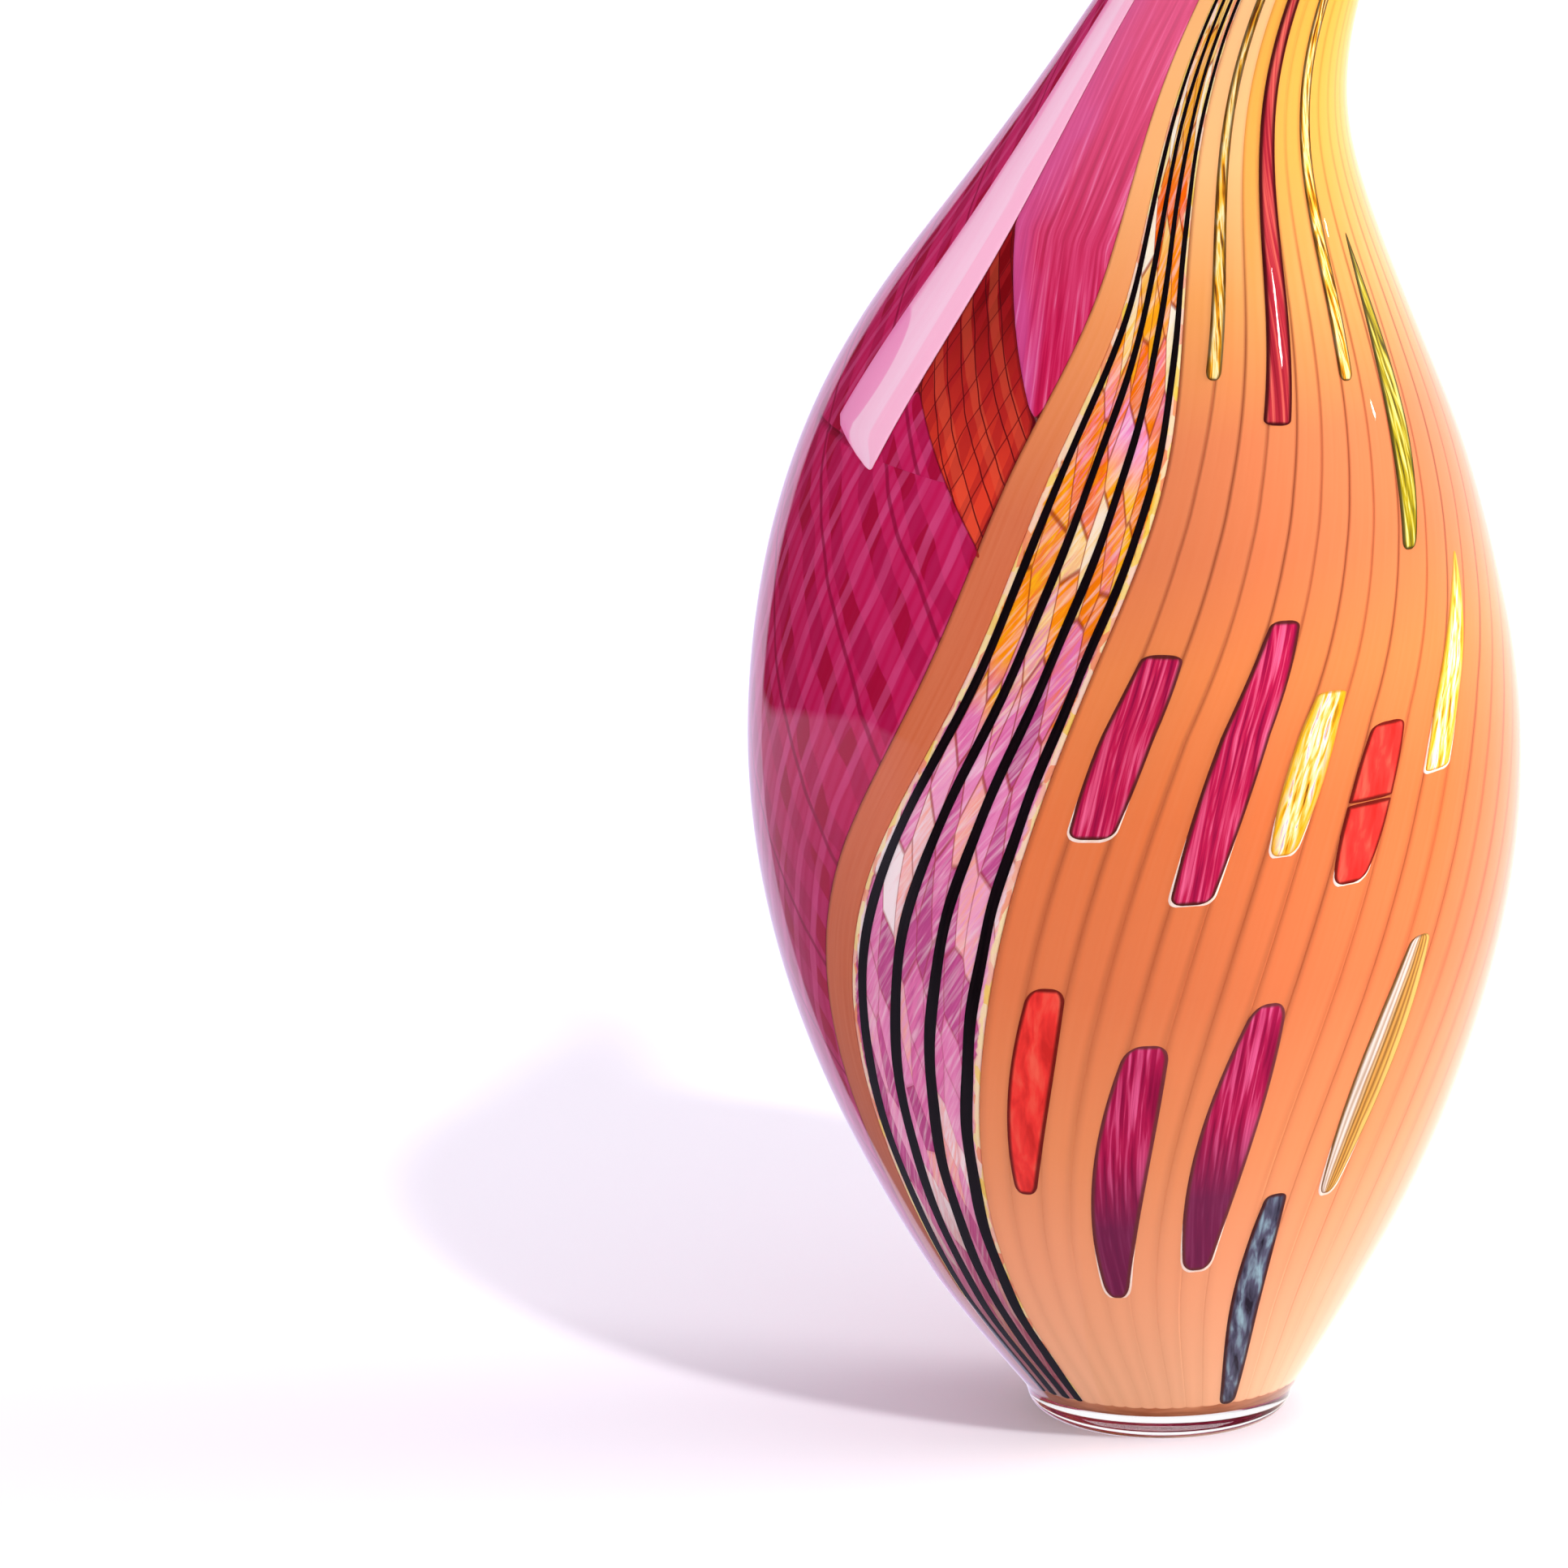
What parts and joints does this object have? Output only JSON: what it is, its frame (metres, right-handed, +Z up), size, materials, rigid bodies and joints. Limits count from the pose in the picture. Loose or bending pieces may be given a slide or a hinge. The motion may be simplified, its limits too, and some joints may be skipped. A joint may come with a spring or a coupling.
{
  "type": "glass vase",
  "caption": "Hand blown glass vase with a pear-shaped body of inlaid colour canes, drawn up into a long curved neck with a small open mouth, on a clear pad foot.",
  "frame": {"origin": "middle of the flat ground face that the foot stands on", "axes": "+Z up, +X the way the neck leans, -Y towards the viewer of the black canes"},
  "size_m": [0.217, 0.217, 0.7196],
  "materials": {
    "clear_glass": "fire-polished clear soda-lime glass",
    "apricot_glass": "translucent apricot glass with soft seams",
    "murrine_glass": "patchwork of yellow, orange, pink and lilac glass tiles",
    "black_glass": "opaque glossy black glass",
    "magenta_glass": "transparent magenta glass with pale diagonal streaks",
    "pink_glass": "opal pink glass",
    "vermilion_glass": "vermilion glass with a thin dark lattice",
    "rose_glass": "rose glass drawn in fine streaks",
    "red_glass": "bright red glass",
    "cranberry_glass": "cranberry glass cane",
    "amber_glass": "transparent amber glass",
    "olive_glass": "transparent olive and amber glass",
    "striped_beige_glass": "beige glass with brown stripes",
    "smoky_glass": "smoky grey glass"
  },
  "bodies": {
    "root": {"clear_foot": "clear_glass", "inner_gather": "clear_glass", "clear_casing": "clear_glass", "lip_ring": "clear_glass", "pinched_base": "apricot_glass", "apricot_edge_cane": "apricot_glass", "apricot_cane_1": "apricot_glass", "apricot_cane_2": "apricot_glass", "apricot_cane_3": "apricot_glass", "apricot_cane_4": "apricot_glass", "apricot_cane_5": "apricot_glass", "apricot_cane_6": "apricot_glass", "apricot_cane_7": "apricot_glass", "apricot_cane_8": "apricot_glass", "apricot_cane_9": "apricot_glass", "apricot_cane_10": "apricot_glass", "apricot_cane_11": "apricot_glass", "apricot_cane_12": "apricot_glass", "apricot_cane_13": "apricot_glass", "apricot_cane_14": "apricot_glass", "apricot_cane_15": "apricot_glass", "apricot_cane_16": "apricot_glass", "apricot_cane_17": "apricot_glass", "apricot_cane_18": "apricot_glass", "apricot_cane_19": "apricot_glass", "apricot_cane_20": "apricot_glass", "apricot_cane_21": "apricot_glass", "apricot_cane_22": "apricot_glass", "murrine_ribbon": "murrine_glass", "black_cane_1": "black_glass", "black_cane_2": "black_glass", "black_cane_3": "black_glass", "black_cane_4": "black_glass", "magenta_panel": "magenta_glass", "magenta_window_1": "magenta_glass", "magenta_window_2": "magenta_glass", "magenta_window_3": "magenta_glass", "magenta_window_4": "magenta_glass", "pink_cane": "pink_glass", "back_pink_cane": "pink_glass", "vermilion_tile_panel": "vermilion_glass", "rose_panel": "rose_glass", "back_rose_panel": "rose_glass", "red_window_upper": "red_glass", "red_window_lower": "red_glass", "red_window_front": "red_glass", "cranberry_cane": "cranberry_glass", "amber_window": "amber_glass", "pointed_amber_window": "amber_glass", "amber_drip_1": "amber_glass", "amber_drip_2": "amber_glass", "olive_drip": "olive_glass", "striped_beige_window": "striped_beige_glass", "smoky_window": "smoky_glass"}
  },
  "joints": []
}
